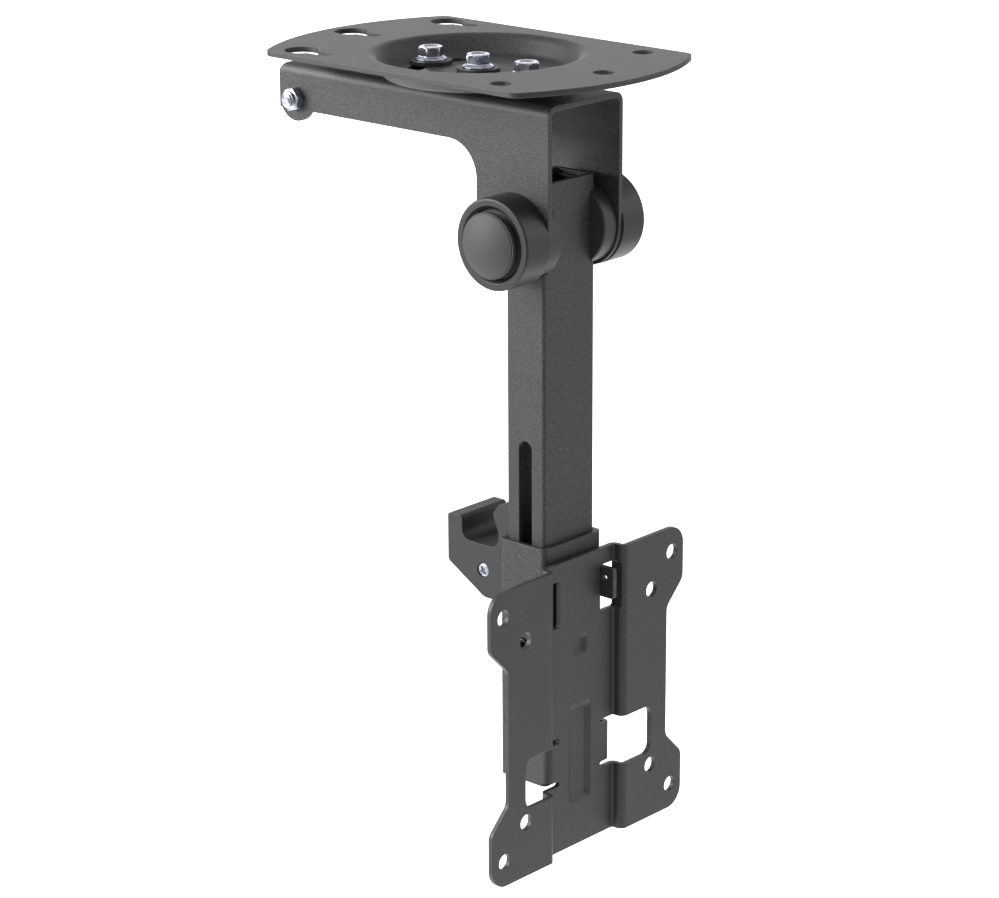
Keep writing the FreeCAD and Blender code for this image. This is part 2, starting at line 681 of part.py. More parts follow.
def domed_edge(radius, seat, rise):
    """The arc of a dome's profile, from its rim at the seat to its crown on the axis."""
    sphere = (radius ** 2 + rise ** 2) / (2 * rise)
    half_turn = math.asin(radius / sphere) / 2
    middle = (seat + rise - sphere * (1 - math.cos(half_turn)), sphere * math.sin(half_turn))
    rim = front(seat, radius, 0)
    crown = front(seat + rise, 0, 0)
    return Part.Arc(rim, front(*middle, 0), crown).toShape()


# Arm tube


def tube_outline(inset):
    """The tube's cross-section from above, moved in by the inset, with its corner radius."""
    half_width = TUBE_HALF_WIDTH - inset
    corners = rectangle(-half_width, half_width, -TUBE_FRONT + inset, TUBE_REAR - inset)
    return corners, max(TUBE_CORNER - inset, BEND / 2)


def arm_tube():
    """The arm: a rectangular tube, pressed in at the hinge and slotted along both sides."""
    corners, radius = tube_outline(0)
    tube = prism(corners, radius, plan, TUBE_BOTTOM, TUBE_TOP)
    corners, radius = tube_outline(SHEET)
    neck = [(math.copysign(abs(x) - PINCH, x), y) for x, y in corners]
    tube = tube.cut(prism(corners, radius, plan, TUBE_BOTTOM, -PINCH_HALF_HEIGHT))
    tube = tube.cut(prism(neck, radius, plan, -PINCH_HALF_HEIGHT, PINCH_HALF_HEIGHT))
    tube = tube.cut(prism(corners, radius, plan, PINCH_HALF_HEIGHT, TUBE_TOP))
    pocket = rod(side, 0, 0, FRICTION_DISC_RADIUS + RECESS_FIT, DISC_SEAT, TUBE_HALF_WIDTH)
    ends = [(TUBE_MIDDLE, SLOT_TOP - SLOT_HALF_WIDTH), (TUBE_MIDDLE, SLOT_BOTTOM + SLOT_HALF_WIDTH)]
    slot = obround(side, ends, SLOT_HALF_WIDTH, TUBE_HALF_WIDTH - SHEET, TUBE_HALF_WIDTH)
    for cutter in (pocket, slot):
        tube = tube.cut(cutter).cut(mirrored(cutter))
    through = TUBE_HALF_WIDTH
    tube = tube.cut(rod(side, 0, 0, HINGE_BOLT_RADIUS + ROTATION_FIT, -through, through))
    return at_hinge(tube)


def tube_plug():
    """The plug that closes the tube's lower end."""
    corners, radius = tube_outline(0)
    flange = prism(corners, radius, plan, TUBE_BOTTOM - PLUG_FLANGE, TUBE_BOTTOM)
    corners, radius = tube_outline(SHEET)
    boss = prism(corners, radius, plan, TUBE_BOTTOM, TUBE_BOTTOM + PLUG_DEPTH)
    return at_hinge(flange.fuse(boss))


# Carrier


def carrier_sleeve():
    """The sleeve on the arm, with the lock ear that passes through the screen plate."""
    outer = rectangle(-SLEEVE_OUTER, SLEEVE_OUTER, -SLEEVE_FRONT, SLEEVE_REAR)
    inner = rectangle(-SLEEVE_INNER, SLEEVE_INNER, SHEET - SLEEVE_FRONT, SLEEVE_REAR - SHEET)
    sleeve = prism(outer, TUBE_CORNER + SHEET / 2, plan, SLEEVE_BOTTOM, SLEEVE_TOP)
    sleeve = sleeve.cut(prism(inner, TUBE_CORNER / 2, plan, SLEEVE_BOTTOM, SLEEVE_TOP))
    sleeve = sleeve.fuse(lock_ear())
    for height in CLAMP_HEIGHTS:
        hole = rod(side, TUBE_MIDDLE, height, M6_RADIUS + SHANK_FIT, -SLEEVE_OUTER, SLEEVE_OUTER)
        sleeve = sleeve.cut(hole)
    return at_hinge(sleeve)


def lock_ear():
    """The ear on the sleeve's front, which comes out through the panel's window."""
    corners = rectangle(-EAR_REACH, -SLEEVE_FRONT, EAR_BOTTOM, EAR_TOP)
    radii = [EAR_CORNER, 0.0, 0.0, EAR_CORNER]
    ear = prism(corners, radii, side, EAR_INNER, EAR_INNER + SHEET)
    hole_place = (-EAR_REACH + EAR_HOLE_INSET, EAR_TOP - EAR_HOLE_INSET)
    return ear.cut(rod(side, *hole_place, EAR_HOLE_RADIUS, EAR_INNER, EAR_INNER + SHEET))


def slide_key():
    """The right guide key, which fills the slot above the clamp bolts and stops at its top."""
    half_width = SLOT_HALF_WIDTH - SLIDE_FIT
    ends = [(TUBE_MIDDLE, KEY_TOP - half_width), (TUBE_MIDDLE, KEY_BOTTOM + half_width)]
    return obround(side, ends, half_width, TUBE_HALF_WIDTH - SHEET, SLEEVE_INNER)


def clamp_bolt(height):
    """A hexagon bolt through the sleeve and both slots, which clamps the carrier."""
    seat = SLEEVE_OUTER + M6_WASHER_THICKNESS
    end = seat + M6_NUT_HEIGHT + M6_PROTRUSION
    bolt = rod(side, TUBE_MIDDLE, height, M6_RADIUS, -seat, end)
    head = hexagon(side, TUBE_MIDDLE, height, M6_ACROSS_FLATS, -seat - M6_HEAD_HEIGHT, -seat)
    return at_hinge(bolt.fuse(head))


def clamp_washers(height):
    """The washers under a clamp bolt's head and nut."""
    right = flat_washer(
        side, TUBE_MIDDLE, height, SLEEVE_OUTER, M6_WASHER_RADIUS, M6_WASHER_THICKNESS, M6_RADIUS
    )
    return [at_hinge(right), at_hinge(mirrored(right))]


def clamp_nut(height):
    """The lock nut on a clamp bolt."""
    return at_hinge(lock_nut(side, TUBE_MIDDLE, height, SLEEVE_OUTER + M6_WASHER_THICKNESS, 1))


# Screen plate


def screen_outline():
    """The plate's front outline: four eared corners with a narrower waist between them."""
    half_height = SCREEN_HALF_HEIGHT
    turn_in = half_height - EAR_DROP
    waist = turn_in - (SCREEN_HALF_WIDTH - WAIST_HALF_WIDTH)
    right = [
        (SCREEN_HALF_WIDTH, -half_height),
        (SCREEN_HALF_WIDTH, -turn_in),
        (WAIST_HALF_WIDTH, -waist),
        (WAIST_HALF_WIDTH, waist),
        (SCREEN_HALF_WIDTH, turn_in),
        (SCREEN_HALF_WIDTH, half_height),
    ]
    left = [(-x, z) for x, z in reversed(right)]
    corners = [(x, z + SCREEN_CENTRE) for x, z in right + left]
    fillet = WAIST_FILLET
    radii = [SCREEN_CORNER, fillet, fillet, fillet, fillet, SCREEN_CORNER] * 2
    return corners, radii


def screen_plate():
    """The screen plate: wings to the front, a recessed panel, and straps round the sleeve."""
    wing = WING_FRONT
    panel = PANEL_FRONT
    reach = SCREEN_HALF_WIDTH
    step = PANEL_HALF_WIDTH
    face = [(-reach, -wing), (-step, -wing), (-step, -panel), (step, -panel), (step, -wing), (reach, -wing)]
    low = SCREEN_CENTRE - SCREEN_HALF_HEIGHT
    high = SCREEN_CENTRE + SCREEN_HALF_HEIGHT
    sheet = sheet_strip(face, SHEET, BEND, plan, low, high)
    corners, radii = screen_outline()
    plate = sheet.common(prism(corners, radii, front, -wing, 0))
    plate = plate.cut(screen_holes())
    for opening in (window(), cutout()):
        plate = plate.cut(opening).cut(mirrored(opening))
    for half_width, half_height, slope, centre in (
        (EMBOSS_FLOOR_HALF_WIDTH, EMBOSS_FLOOR_HALF_HEIGHT, EMBOSS_SLOPE, EMBOSS_CENTRE),
        (DIMPLE_FLOOR_HALF_WIDTH, DIMPLE_FLOOR_HALF_WIDTH, DIMPLE_SLOPE, DIMPLE_CENTRE),
    ):
        pressing = pressed_form(half_width, half_height, slope, centre)
        plate = plate.fuse(pressing.translated(Vector(0, SHEET, 0))).cut(pressing)
    for piece in (strap(), mirrored(strap())):
        plate = plate.fuse(piece)
    return at_hinge(plate.removeSplitter())


def screen_holes():
    """The screen's bolt holes, four for each pattern."""
    holes = []
    for pitch in SCREEN_PATTERNS:
        for across in (-pitch / 2, pitch / 2):
            for up in (-pitch / 2, pitch / 2):
                holes.append(rod(front, across, SCREEN_CENTRE + up, SCREEN_HOLE_RADIUS, -WING_FRONT, 0))
    return Part.makeCompound(holes)


def window():
    """The right opening beside the panel's step, where the lock ear passes."""
    corners = rectangle(WINDOW_INNER, WINDOW_OUTER, WINDOW_BOTTOM, WINDOW_TOP)
    return prism(corners, WINDOW_CORNER, front, -WING_FRONT, 0)


def cutout():
    """The right opening that the strap is cut and folded from, with its corner reliefs."""
    corners = rectangle(CUTOUT_INNER, CUTOUT_OUTER, CUTOUT_BOTTOM, CUTOUT_TOP)
    radii = [0.0, CUTOUT_CORNER, CUTOUT_CORNER, 0.0]
    opening = prism(corners, radii, front, -WING_FRONT, 0)
    for height in (CUTOUT_BOTTOM + RELIEF_RADIUS, CUTOUT_TOP - RELIEF_RADIUS):
        opening = opening.fuse(rod(front, CUTOUT_INNER, height, RELIEF_RADIUS, -WING_FRONT, 0))
    return opening


def strap():
    """The right strap: a tongue of the panel folded back along the sleeve's side."""
    root = CUTOUT_INNER - RELIEF_RADIUS
    outer = SLEEVE_OUTER + SHEET
    path = [(root, -PANEL_FRONT), (outer, -PANEL_FRONT), (outer, STRAP_REAR)]
    tongue = sheet_strip(path, SHEET, BEND, plan, STRAP_BOTTOM, STRAP_TOP)
    corners = rectangle(-WING_FRONT, STRAP_REAR, STRAP_BOTTOM, STRAP_TOP)
    radii = [0.0, CUTOUT_CORNER, CUTOUT_CORNER, 0.0]
    return tongue.common(prism(corners, radii, side, 0, outer))


def pressed_form(half_width, half_height, slope, centre):
    """A sunk form with sloping sides, as deep as the gap between the panel and the sleeve."""
    sections = []
    for grow, depth in ((slope, -PANEL_FRONT), (0.0, -PANEL_FRONT + PANEL_GAP)):
        across = half_width + grow
        up = half_height + grow
        corners = rectangle(-across, across, centre - up, centre + up)
        radius = (slope + grow) / 2
        sections.append(rounded_wire(corners, [radius] * len(corners), front, depth))
    return Part.makeLoft(sections, True, True)


# Hook


def hook_outline():
    """The hook's side outline: a finger behind, a pocket for the latch bolt, and a front wall."""
    tube_side = TUBE_REAR + HOOK_TUBE_GAP
    outline = [
        (SLEEVE_REAR, HOOK_BOTTOM, 0.0),
        (HOOK_CHAMFER_FRONT, HOOK_BOTTOM, HOOK_ROUND),
        (HOOK_REAR, HOOK_CHAMFER_TOP, HOOK_FILLET),
        (HOOK_REAR, HOOK_FINGER_TOP, HOOK_EDGE),
        (HOOK_FINGER_FRONT, HOOK_FINGER_TOP, HOOK_EDGE),
        (HOOK_FINGER_FRONT, HOOK_FLOOR, HOOK_ROUND),
        (HOOK_POCKET_FRONT, HOOK_FLOOR, HOOK_ROUND),
        (HOOK_POCKET_FRONT, (HOOK_NOSE_HEIGHT + HOOK_FLOOR) / 2, HOOK_FILLET),
        (HOOK_NOSE, HOOK_NOSE_HEIGHT, HOOK_FILLET),
        (HOOK_POCKET_FRONT, HOOK_CREST - HOOK_CREST_DROP, HOOK_EDGE),
        (HOOK_CREST_REAR, HOOK_CREST, HOOK_EDGE),
        (tube_side, HOOK_CREST, HOOK_EDGE / 2),
        (tube_side, SLEEVE_TOP, 0.0),
        (SLEEVE_REAR, SLEEVE_TOP, 0.0),
    ]
    return [(y, z) for y, z, _ in outline], [radius for _, _, radius in outline]


def core_outline():
    """The hook's steel tongue, inside both shells."""
    inset = CORE_INSET
    corners = [
        (SLEEVE_REAR, HOOK_BOTTOM + inset),
        (HOOK_CHAMFER_FRONT, HOOK_BOTTOM + inset),
        (HOOK_REAR - inset, HOOK_CHAMFER_TOP + inset),
        (HOOK_REAR - inset, HOOK_FINGER_TOP - inset),
        (HOOK_FINGER_FRONT + inset, HOOK_FINGER_TOP - inset),
        (HOOK_FINGER_FRONT + inset, HOOK_FLOOR - inset),
        (HOOK_POCKET_FRONT - inset, HOOK_FLOOR - inset),
        (HOOK_POCKET_FRONT - inset, SLEEVE_TOP - inset),
        (SLEEVE_REAR, SLEEVE_TOP - inset),
    ]
    return corners


def hook_core():
    """The steel tongue that stands on the sleeve's rear wall and carries the latch load."""
    half = CORE_THICKNESS / 2
    core = prism(core_outline(), 0.0, side, -half, half)
    return at_hinge(core.cut(rod(side, *HOOK_SCREW, HOOK_SCREW_RADIUS + SHANK_FIT, -half, half)))


def hook_shell():
    """The right half of the moulded hook, hollowed on its inner face for the steel tongue."""
    corners, radii = hook_outline()
    half = CORE_THICKNESS / 2
    shell = prism(corners, radii, side, 0, HOOK_HALF_WIDTH)
    shell = shell.cut(prism(core_outline(), 0.0, side, 0, half))
    return shell.cut(rod(side, *HOOK_SCREW, HOOK_SCREW_RADIUS + SHANK_FIT, 0, HOOK_HALF_WIDTH))


def hook_shells():
    """Both halves: the screw's head sinks into the left one and its nut into the right one."""
    left = mirrored(hook_shell())
    head_radius = HOOK_SCREW_HEAD_RADIUS + SHANK_FIT
    head_seat = -HOOK_HALF_WIDTH + HOOK_SCREW_HEAD_HEIGHT
    left = left.cut(rod(side, *HOOK_SCREW, head_radius, -HOOK_HALF_WIDTH, head_seat))
    nut_seat = HOOK_HALF_WIDTH - HOOK_NUT_HEIGHT
    nut_pocket = hexagon(side, *HOOK_SCREW, HOOK_NUT_ACROSS_FLATS, nut_seat, HOOK_HALF_WIDTH)
    right = hook_shell().cut(nut_pocket)
    return at_hinge(left), at_hinge(right)


def hook_screw():
    """The screw through both halves and the tongue, with a flat head."""
    face = -HOOK_HALF_WIDTH
    seat = face + HOOK_SCREW_HEAD_HEIGHT
    screw = rod(side, *HOOK_SCREW, HOOK_SCREW_RADIUS, seat, HOOK_HALF_WIDTH)
    head = rod(side, *HOOK_SCREW, HOOK_SCREW_HEAD_RADIUS, face, seat)
    return at_hinge(screw.fuse(head))


def hook_nut():
    """The nut pressed into the right half."""
    start = HOOK_HALF_WIDTH - HOOK_NUT_HEIGHT
    nut = hexagon(side, *HOOK_SCREW, HOOK_NUT_ACROSS_FLATS, start, HOOK_HALF_WIDTH)
    return at_hinge(nut.cut(rod(side, *HOOK_SCREW, HOOK_SCREW_RADIUS, start, HOOK_HALF_WIDTH)))


def all_parts():
    """Every named piece of the mount, by the name it is written under."""
    guide_places = [-SWIVEL_PITCH, SWIVEL_PITCH]
    left_shell, right_shell = hook_shells()
    parts = {
        "ceiling_plate": ceiling_plate(),
        "swivel_pad": swivel_pad(),
        "slip_washers": Part.makeCompound([slip_washer(y) for y in swivel_places()]),
        "pivot_bolt": swivel_bolt(0.0),
        "guide_bolts": Part.makeCompound([swivel_bolt(y) for y in guide_places]),
        "swivel_washers": Part.makeCompound([swivel_washer(y) for y in swivel_places()]),
        "swivel_nuts": Part.makeCompound([swivel_nut(y) for y in swivel_places()]),
        "channel_bracket": channel_bracket(),
        "latch_bolt": latch_bolt(),
        "latch_nut": latch_nut(),
        "hinge_bolt": hinge_bolt(),
        "hinge_washers": hinge_washers(),
        "disc_springs": disc_springs(),
        "hinge_nut": hinge_nut(),
        "hinge_barrel": hinge_barrel(),
        "arm_tube": arm_tube(),
        "tube_plug": tube_plug(),
        "carrier_sleeve": carrier_sleeve(),
        "clamp_bolts": Part.makeCompound([clamp_bolt(height) for height in CLAMP_HEIGHTS]),
        "clamp_washers": Part.makeCompound(sum((clamp_washers(height) for height in CLAMP_HEIGHTS), [])),
        "clamp_nuts": Part.makeCompound([clamp_nut(height) for height in CLAMP_HEIGHTS]),
        "screen_plate": screen_plate(),
        "hook_core": hook_core(),
        "hook_shell_left": left_shell,
        "hook_shell_right": right_shell,
        "hook_screw": hook_screw(),
        "hook_nut": hook_nut(),
    }
    paired = {
        "friction_disc": friction_disc(),
        "hinge_cover": hinge_cover(),
        "hinge_cap": hinge_cap(),
        "slide_key": slide_key(),
    }
    for name, shape in paired.items():
        parts[name + "_right"] = at_hinge(shape)
        parts[name + "_left"] = at_hinge(mirrored(shape))
    return parts


def main():
    """Writes one file for each named piece."""
    os.makedirs("parts", exist_ok=True)
    for name, shape in all_parts().items():
        shape.exportStep("parts/" + name + ".step")
        print(f"{name:18s} {len(shape.Solids)} solids  {shape.Volume / 1000:8.2f} cm3  valid {shape.isValid()}")


main()
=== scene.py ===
# %% [markdown]
# # A flip-down screen mount, dressed
#
# This lesson takes a finished CAD model of a small screen mount and gives it the looks of the real
# one. The CAD model has every sheet part in its true form, so it stays where it is. Blender adds
# what CAD leaves out: the powder coat's fine grain, worn and rounded edges, moulded plastic, zinc
# plate, and the small turned and threaded fasteners.
#
# First the model is loaded. Its box is kept, so that the dressed model's growth can be printed at the end.
# Its box is kept, because nothing that is added may reach outside it.

# %% Load the frame
import math

import bmesh
import bpy
import numpy as np
from mathutils import Matrix, Vector


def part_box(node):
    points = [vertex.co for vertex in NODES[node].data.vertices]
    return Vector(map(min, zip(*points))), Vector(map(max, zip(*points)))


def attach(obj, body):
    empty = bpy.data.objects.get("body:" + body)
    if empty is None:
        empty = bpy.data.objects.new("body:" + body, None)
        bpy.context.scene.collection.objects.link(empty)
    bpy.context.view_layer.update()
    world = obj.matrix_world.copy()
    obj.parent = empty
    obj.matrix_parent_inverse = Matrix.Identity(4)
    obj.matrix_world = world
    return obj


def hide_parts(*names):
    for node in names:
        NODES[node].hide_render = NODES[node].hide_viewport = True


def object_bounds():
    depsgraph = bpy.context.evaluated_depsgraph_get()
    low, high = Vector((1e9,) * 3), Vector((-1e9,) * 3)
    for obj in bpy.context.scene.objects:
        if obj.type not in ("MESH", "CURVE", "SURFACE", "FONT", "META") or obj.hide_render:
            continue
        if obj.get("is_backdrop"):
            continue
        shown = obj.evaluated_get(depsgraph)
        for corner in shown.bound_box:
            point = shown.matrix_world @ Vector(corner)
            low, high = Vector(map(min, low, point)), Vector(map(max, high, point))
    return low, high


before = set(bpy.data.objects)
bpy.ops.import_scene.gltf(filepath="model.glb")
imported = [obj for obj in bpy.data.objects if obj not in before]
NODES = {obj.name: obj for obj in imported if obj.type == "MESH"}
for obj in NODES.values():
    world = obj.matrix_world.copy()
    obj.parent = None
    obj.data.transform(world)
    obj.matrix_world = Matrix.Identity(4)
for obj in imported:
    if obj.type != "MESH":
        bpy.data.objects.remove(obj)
CAD_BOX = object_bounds()
MM = 0.001
print("nodes:", len(NODES), "box:", [round(v, 4) for v in CAD_BOX[1] - CAD_BOX[0]])

# %% [markdown]
# ## The camera
#
# The photograph was taken from the left and a little above. A camera fitted to the screen plate's
# hole squares gave the angles and the focal length below. The camera stands 1.2 m away, so the
# perspective is gentle. Its axes are worked out from azimuth, elevation and roll, as on a tripod.

# %% Place the camera
AZIMUTH, ELEVATION, ROLL = (math.radians(angle) for angle in (-47.904, 17.666, -0.301))
FOCAL_PIXELS = 3196.777
IMAGE_WIDTH = 999
SENSOR = 36.0
HINGE = Vector((0.0, -0.037, -0.0627))
TRIPOD = (-0.01973, -0.083024, 1.204383)  # right, up and back from the hinge

back = Vector((
    math.sin(AZIMUTH) * math.cos(ELEVATION),
    -math.cos(AZIMUTH) * math.cos(ELEVATION),
    math.sin(ELEVATION),
))
level_right = Vector((math.cos(AZIMUTH), math.sin(AZIMUTH), 0.0))
level_up = back.cross(level_right)
right = level_right * math.cos(ROLL) + level_up * math.sin(ROLL)
up = level_up * math.cos(ROLL) - level_right * math.sin(ROLL)

lens = bpy.data.cameras.new("camera")
lens.sensor_width = SENSOR
lens.lens = FOCAL_PIXELS / IMAGE_WIDTH * SENSOR
lens.clip_start, lens.clip_end = 0.05, 20.0
camera = bpy.data.objects.new("camera", lens)
turn = Matrix((right, up, back)).transposed().to_4x4()
place = HINGE + right * TRIPOD[0] + up * TRIPOD[1] + back * TRIPOD[2]
camera.matrix_world = Matrix.Translation(place) @ turn
bpy.context.scene.collection.objects.link(camera)
bpy.context.scene.camera = camera
print("camera at", [round(v, 3) for v in place], "lens", round(lens.lens, 1), "mm")

# %% [markdown]
# ## Helpers for meshes
#
# Most added pieces are turned or threaded. Each is a grid of points: one index runs along the
# piece, the other goes round its axis. Where a row has shrunk to a point, its doubles are merged,
# so the surface is closed. Sharp edges stay sharp and the rest is shaded smooth.

# %% Mesh helpers
SMOOTH_LIMIT = math.radians(32)


def put_in_scene(name, vertices, faces):
    """Makes an object at the origin from points and faces, merged, closed and facing outwards."""
    mesh = bpy.data.meshes.new(name)
    mesh.from_pydata(vertices, [], faces)
    work = bmesh.new()
    work.from_mesh(mesh)
    bmesh.ops.remove_doubles(work, verts=work.verts, dist=1e-7)
    bmesh.ops.dissolve_degenerate(work, edges=work.edges, dist=1e-8)
    bmesh.ops.recalc_face_normals(work, faces=work.faces)
    work.to_mesh(mesh)
    work.free()
    mesh.shade_smooth()
    mesh.set_sharp_from_angle(angle=SMOOTH_LIMIT)
    made = bpy.data.objects.new(name, mesh)
    bpy.context.scene.collection.objects.link(made)
    return made


def grid_faces(rows, around, ring=False):
    """The four-cornered faces between neighbouring rows of a grid that closes round its axis.

    With ring=True the last row joins the first one too, as on a nut, which has an outside and a bore.
    """
    index = np.arange(rows * around).reshape(rows, around)
    upper = np.roll(index, -1, axis=0) if ring else index[1:]
    lower = index if ring else index[:-1]
    corners = (lower, upper, np.roll(upper, -1, axis=1), np.roll(lower, -1, axis=1))
    return np.stack(corners, axis=-1).reshape(-1, 4)


def along_axis(along, radius, angle, centre, axis):
    """Points at a distance along an axis, and at a radius and angle about it.

    For axis Z the angle starts at X and turns to Y. For axis X it starts at Y and turns to Z.
    """
    first, second = radius * np.cos(angle), radius * np.sin(angle)
    along = np.broadcast_to(along, first.shape)
    columns = (first, second, along) if axis == "Z" else (along, first, second)
    return np.stack(columns, axis=-1) * MM + np.array(centre)


print("mesh helpers ready")

# %% [markdown]
# ## Fasteners
#
# A forged hexagon head has its corners cut back by a cone, so each flat ends in a curve. That is
# one formula: the radius is the smaller of a hexagon's and a cone's. A shank's thread is another:
# the radius dips with the distance to the nearest turn of a helix. Both are worked out for every
# angle and every height at once. Nuts and shanks have the sizes of the CAD solids, and a washer's
# radius gives the clamp bolts their heights. Only the swivel bolts' heads and flanges are narrower
# than their solids, as the photograph shows them.

# %% Profiles of the fasteners
ROUND_STEPS = 96
ANGLES = np.linspace(0.0, 2 * np.pi, ROUND_STEPS, endpoint=False)
CHAMFER_SLOPE = math.tan(math.radians(30))
CHAMFER_START = 0.97  # the end face's radius as a share of the half width over flats
PITCH = 1.0
THREAD_DEPTH = 0.28
ROWS_PER_TURN = 8


def hexagon_radius(across_flats, angle):
    """Half the width over flats, divided by the cosine of the angle to the nearest flat's middle."""
    return across_flats / 2 / np.cos(np.mod(angle, np.pi / 3) - np.pi / 6)


def chamfered(across_flats, depth, angle):
    """The hexagon's radius at a depth below its end face, cut by the chamfer's cone."""
    cone = across_flats / 2 * CHAMFER_START + depth / CHAMFER_SLOPE
    return np.minimum(hexagon_radius(across_flats, angle), cone)


def threaded(radius, along, angle):
    """The radius less the thread's depth times how far the point is from the nearest crest."""
    phase = np.mod(along / PITCH - angle / (2 * np.pi), 1.0)
    return radius - THREAD_DEPTH * (1 - np.abs(2 * phase - 1)) ** 1.3


def chamfer_rows(across_flats, face, inwards, turn):
    """Rows down a head's chamfer, from its end face, as (along, radius) pairs."""
    depths = np.linspace(0.0, across_flats * (2 / math.sqrt(3) - CHAMFER_START) / 2 * CHAMFER_SLOPE, 7)
    return [(face + inwards * depth, chamfered(across_flats, depth, ANGLES + turn)) for depth in depths]


def thread_rows(radius, start, end):
    """Rows along a threaded stretch, eight for each turn of the helix."""
    count = max(2, int(abs(end - start) / PITCH * ROWS_PER_TURN))
    return [(along, threaded(radius, along, ANGLES)) for along in np.linspace(start, end, count)]


def turned_piece(name, rows, centre, axis, ring=False):
    """A piece from (along, radius) rows about an axis."""
    along = np.array([np.full(ROUND_STEPS, row[0]) for row in rows])
    radius = np.array([np.broadcast_to(row[1], ROUND_STEPS) for row in rows])
    points = along_axis(along, radius, ANGLES, centre, axis)
    return put_in_scene(name, points.reshape(-1, 3), grid_faces(len(rows), ROUND_STEPS, ring))


print("profiles ready:", ROUND_STEPS, "steps round")

# %% [markdown]
# The three swivel bolts have a flange forged under the hexagon and a shallow hollow in the top of
# the head. A bolt's rows start at the middle of the head and end at the middle of its tip. The
# hexagons stand at odd angles, as a spanner leaves them.

# %% Flanged swivel bolts and their nuts
M6 = 3.0
M6_FLATS = 10.0
SEAT_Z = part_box("slip_washers")[1].z / MM
WEB_UNDER_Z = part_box("swivel_washers")[1].z / MM
NUT_SEAT_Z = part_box("swivel_nuts")[1].z / MM
BOLT_END_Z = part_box("pivot_bolt")[0].z / MM
FLANGE_TOP_Z = SEAT_Z + 1.2
HEAD_TOP_Z = SEAT_Z + 5.1
HEAD_FLATS = 8.6  # the solids have 10.0, and a flange radius of 7.1
FLANGE_EDGE = 6.1
SWIVEL_PLACES = {"pivot": 0.0, "front_guide": -24.5, "rear_guide": 24.5}
SWIVEL_TURNS = {"pivot": 0.35, "front_guide": 0.12, "rear_guide": 0.62}


def flanged_bolt(name, y, turn):
    """Head, flange, shank and thread of a swivel bolt, from the top down."""
    flats = HEAD_FLATS
    hexagon = hexagon_radius(flats, ANGLES + turn)
    rows = [(HEAD_TOP_Z - 0.45, 0.0), (HEAD_TOP_Z - 0.45, 2.0), (HEAD_TOP_Z - 0.35, 2.5), (HEAD_TOP_Z, 3.1)]
    rows += chamfer_rows(flats, HEAD_TOP_Z, -1, turn)
    rows += [(FLANGE_TOP_Z + 0.35, hexagon), (FLANGE_TOP_Z + 0.1, hexagon + 0.2)]
    rows += [(FLANGE_TOP_Z, hexagon + 0.4), (SEAT_Z + 0.75, FLANGE_EDGE - 0.2), (SEAT_Z + 0.5, FLANGE_EDGE)]
    rows += [(SEAT_Z + 0.15, FLANGE_EDGE), (SEAT_Z, FLANGE_EDGE - 0.2), (SEAT_Z, M6), (WEB_UNDER_Z, M6)]
    rows += thread_rows(M6, WEB_UNDER_Z - 0.2, BOLT_END_Z + 0.7)
    rows += [(BOLT_END_Z + 0.6, M6 - 0.35), (BOLT_END_Z, M6 - 0.9), (BOLT_END_Z, 0.0)]
    return turned_piece(name, rows, (0.0, y * MM, 0.0), "Z")


def lock_nut(name, centre, axis, seat, direction, turn, size=1.0):
    """A lock nut: chamfered hexagon, a rolled collar that holds the plastic ring, and the bore.

    The step is a millimetre on an M6 nut, outward from the seat, and size scales the whole nut.
    """
    step, flats = direction * size, M6_FLATS * size
    collar, end = seat + 4.2 * step, seat + 5.8 * step
    rows = [(seat, M6 * size), (seat, 4.4 * size)]
    rows += chamfer_rows(flats, seat, direction, turn)
    rows += chamfer_rows(flats, collar, -direction, turn)[::-1]
    lip = [(-1.6, 4.6), (-1.35, 4.2), (-0.6, 4.15), (-0.2, 4.0), (0.0, 3.6)]
    lip += [(-0.05, 3.35), (-0.3, 3.3), (-0.35, M6)]
    rows += [(end + along * step, radius * size) for along, radius in lip]
    return turned_piece(name, rows, centre, axis, ring=True)


swivel_bolts = {}
swivel_nuts = []
for key, y in SWIVEL_PLACES.items():
    swivel_bolts[key] = flanged_bolt("swivel_bolt_" + key, y, SWIVEL_TURNS[key])
    centre = (0.0, y * MM, 0.0)
    swivel_nuts.append(lock_nut("swivel_nut_" + key, centre, "Z", NUT_SEAT_Z, -1, SWIVEL_TURNS[key]))
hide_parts("pivot_bolt")
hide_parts("guide_bolts")
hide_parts("swivel_nuts")
for piece in [*swivel_bolts.values(), *swivel_nuts]:
    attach(piece, "channel")
print("swivel bolts:", sum(len(piece.data.polygons) for piece in swivel_bolts.values()), "faces")

# %% [markdown]
# The latch bolt crosses the channel's far end. Its nut and a few threads show at the left. The two
# clamp bolts cross the sleeve in the other direction. All of them are plain hexagon bolts, turned
# about X.

# %% Latch bolt, clamp bolts and their nuts
LATCH_SIZE = 5 / 6  # the latch bolt is one size smaller than the others


def middle_of(name):
    """The middle of a node's box across X, as the place of a piece about the X axis."""
    low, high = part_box(name)
    return (0.0, (low.y + high.y) / 2, (low.z + high.z) / 2)


def plain_bolt(name, centre, seat, tip, turn, size=1.0):
    """A hexagon bolt about X: the head stands on its seat, and the tip is at the other end."""
    outward = size if seat > tip else -size
    radius, flats, head = M6 * size, M6_FLATS * size, seat + 4.0 * outward
    rows = [(head, 0.0), (head, 4.2 * size)]
    rows += chamfer_rows(flats, head, -outward / size, turn)
    rows += [(seat + 0.15 * outward, hexagon_radius(flats, ANGLES + turn))]
    rows += [(seat, flats / 2 * CHAMFER_START), (seat, radius)]
    thread_start = tip + 18.0 * outward
    rows += [(thread_start, radius)]
    rows += thread_rows(radius, thread_start - 0.1 * outward, tip + 0.7 * outward)
    rows += [(tip + 0.6 * outward, radius - 0.35), (tip, radius - 0.9), (tip, 0.0)]
    return turned_piece(name, rows, centre, "X")


